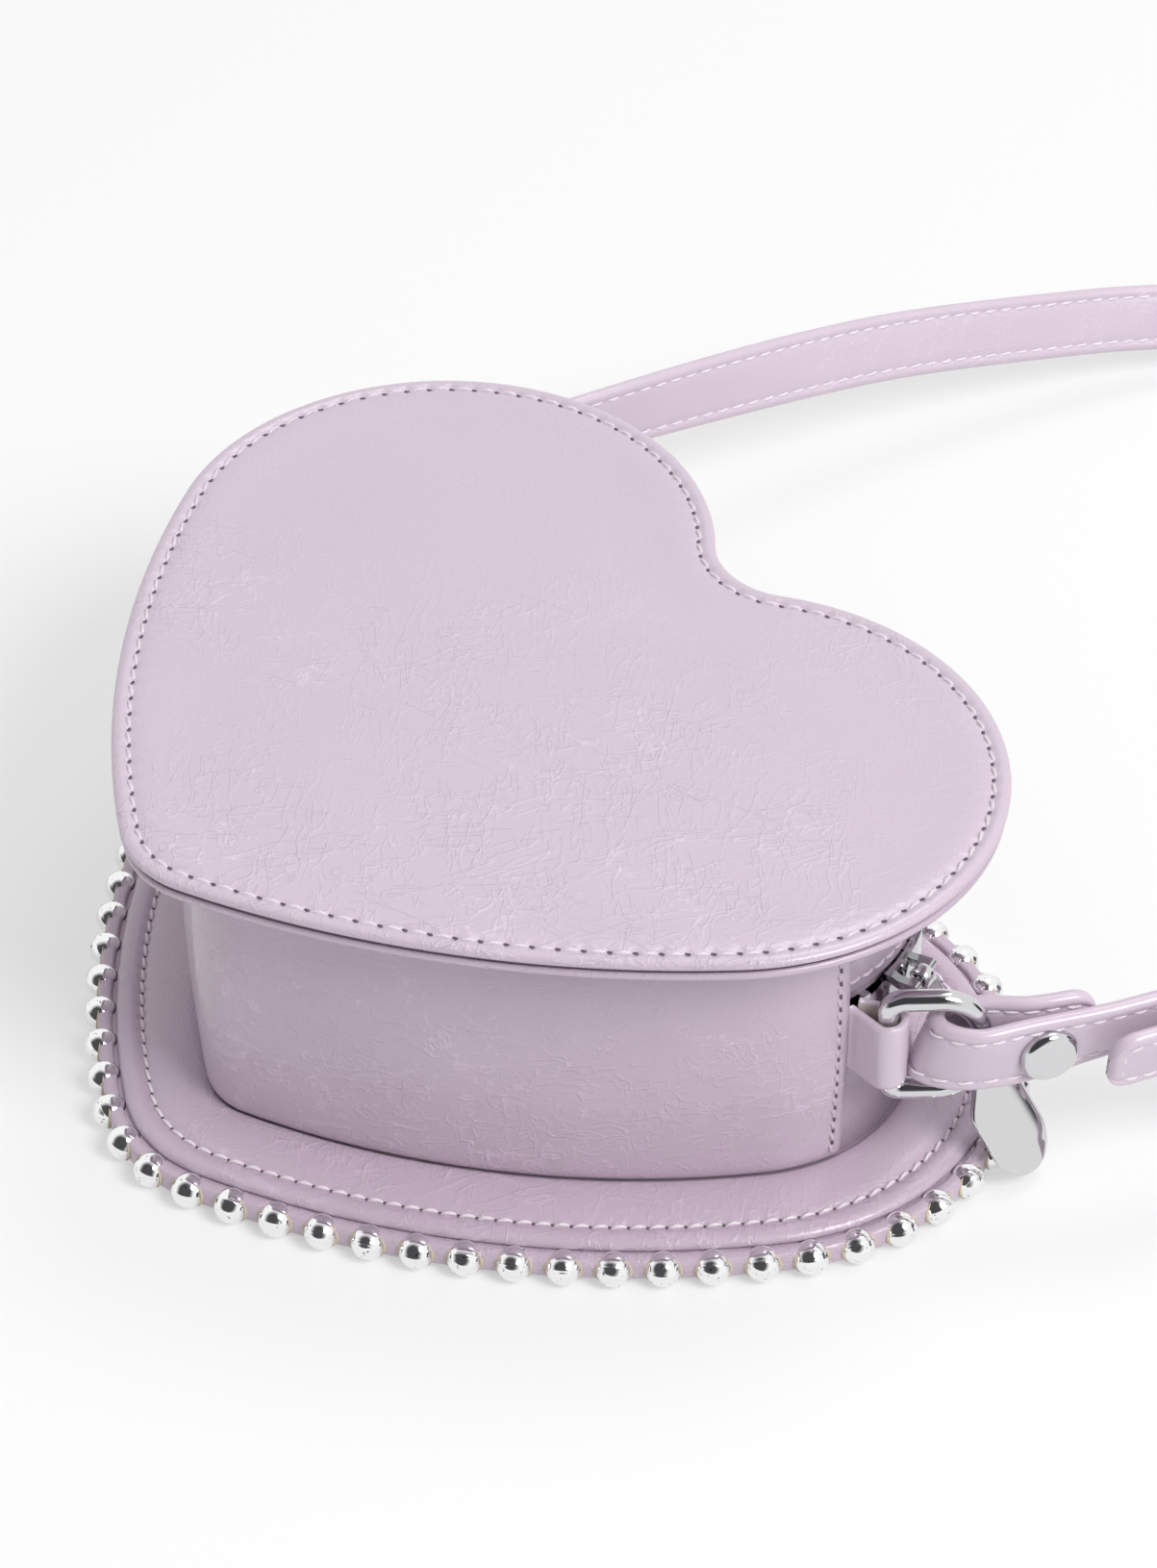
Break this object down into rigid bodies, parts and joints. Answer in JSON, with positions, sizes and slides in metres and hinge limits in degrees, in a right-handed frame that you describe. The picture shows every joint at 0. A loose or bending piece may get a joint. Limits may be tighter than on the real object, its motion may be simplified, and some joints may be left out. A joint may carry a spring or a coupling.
{
  "type": "heart shaped purse",
  "caption": "Heart shaped zipped purse lying on its front, with silver bead piping round the front heart, D-ring tabs and a long buckled shoulder strap riveted at its ends.",
  "frame": {"origin": "on the floor under the middle of the front heart, which lies face down", "axes": "+Z from the front face to the back panel, +Y from the heart's tip to its notch, +X towards the ring with the zipper's slider"},
  "size_m": [0.3133, 0.3701, 0.0652],
  "materials": {
    "panel_leather": "crinkled glossy lavender faux leather",
    "gusset_leather": "crinkled glossy lavender faux leather, in shade",
    "strap_leather": "crinkled glossy lavender faux leather with rolled edges",
    "stiffener": "grey board",
    "padding_foam": "thin foam",
    "lining_cloth": "plain woven lining",
    "bead_silver": "metallised silver bead with a mould line",
    "thread": "twisted thread",
    "zip_tape": "woven zipper tape",
    "zip_teeth": "bright metal teeth",
    "polished_metal": "mirror polished"
  },
  "bodies": {
    "bag": {"back_panel": "panel_leather", "front_panel": "panel_leather", "back_flange": "gusset_leather", "front_flange": "gusset_leather", "stud_piping": "gusset_leather", "tip_gusset": "gusset_leather", "zip_strip_front": "gusset_leather", "zip_strip_back": "gusset_leather", "ring_tab_right": "gusset_leather", "ring_tab_left": "gusset_leather", "short_strap": "strap_leather", "long_strap": "strap_leather", "strap_tail": "strap_leather", "front_board": "stiffener", "back_board": "stiffener", "front_padding": "padding_foam", "front_lining": "lining_cloth", "back_lining": "lining_cloth", "wall_lining": "lining_cloth", "stud_beads": "bead_silver", "bead_cord": "thread", "zip_tape_front": "zip_tape", "zip_tape_back": "zip_tape", "zip_teeth_front": "zip_teeth", "zip_teeth_back": "zip_teeth", "zip_top_stops": "zip_teeth", "zip_bottom_stop": "zip_teeth", "buckle_frame": "polished_metal"},
    "zip_slider": {"zip_slider": "polished_metal"},
    "zip_pull": {"zip_pull": "polished_metal"},
    "d_ring_right": {"d_ring_right": "polished_metal", "strap_rivet_right": "polished_metal"},
    "d_ring_left": {"d_ring_left": "polished_metal", "strap_rivet_left": "polished_metal"},
    "buckle_prong": {"buckle_prong": "polished_metal"},
    "strap_keeper": {"strap_keeper": "strap_leather"}
  },
  "joints": [
    {"name": "zip_slider_travel", "type": "hinge", "parent": "bag", "child": "zip_slider", "pos_m": [0.04225, 0.02268, 0.0363], "axis": [0, 0, 1], "range_deg": [0, 98], "deforming": ["zip_teeth_back", "zip_teeth_front"]},
    {"name": "zip_pull_swing", "type": "hinge", "parent": "zip_slider", "child": "zip_pull", "pos_m": [0.072, 0.03719, 0.0363], "axis": [0.4384, -0.8988, 0], "range_deg": [0, 108], "deforming": ["short_strap", "strap_tail", "strap_rivet_right"]},
    {"name": "d_ring_right_swing", "type": "hinge", "parent": "bag", "child": "d_ring_right", "pos_m": [0.07845, 0.02417, 0.0334], "axis": [0, 0, 1], "range_deg": [-75, 4], "deforming": ["short_strap", "strap_tail"]},
    {"name": "d_ring_left_swing", "type": "hinge", "parent": "bag", "child": "d_ring_left", "pos_m": [-0.07845, 0.02417, 0.0334], "axis": [0, 0, 1], "range_deg": [-25, 75], "deforming": ["long_strap"]},
    {"name": "buckle_prong_swing", "type": "hinge", "parent": "bag", "child": "buckle_prong", "pos_m": [0.1268, 0.119, 0.017], "axis": [-0.0919, -0.2063, -0.9742], "range_deg": [0, 30]},
    {"name": "strap_keeper_slide", "type": "slide", "parent": "bag", "child": "strap_keeper", "axis": [0.3962, 0.8899, -0.2259], "range_m": [-0.007, 0.007]}
  ]
}
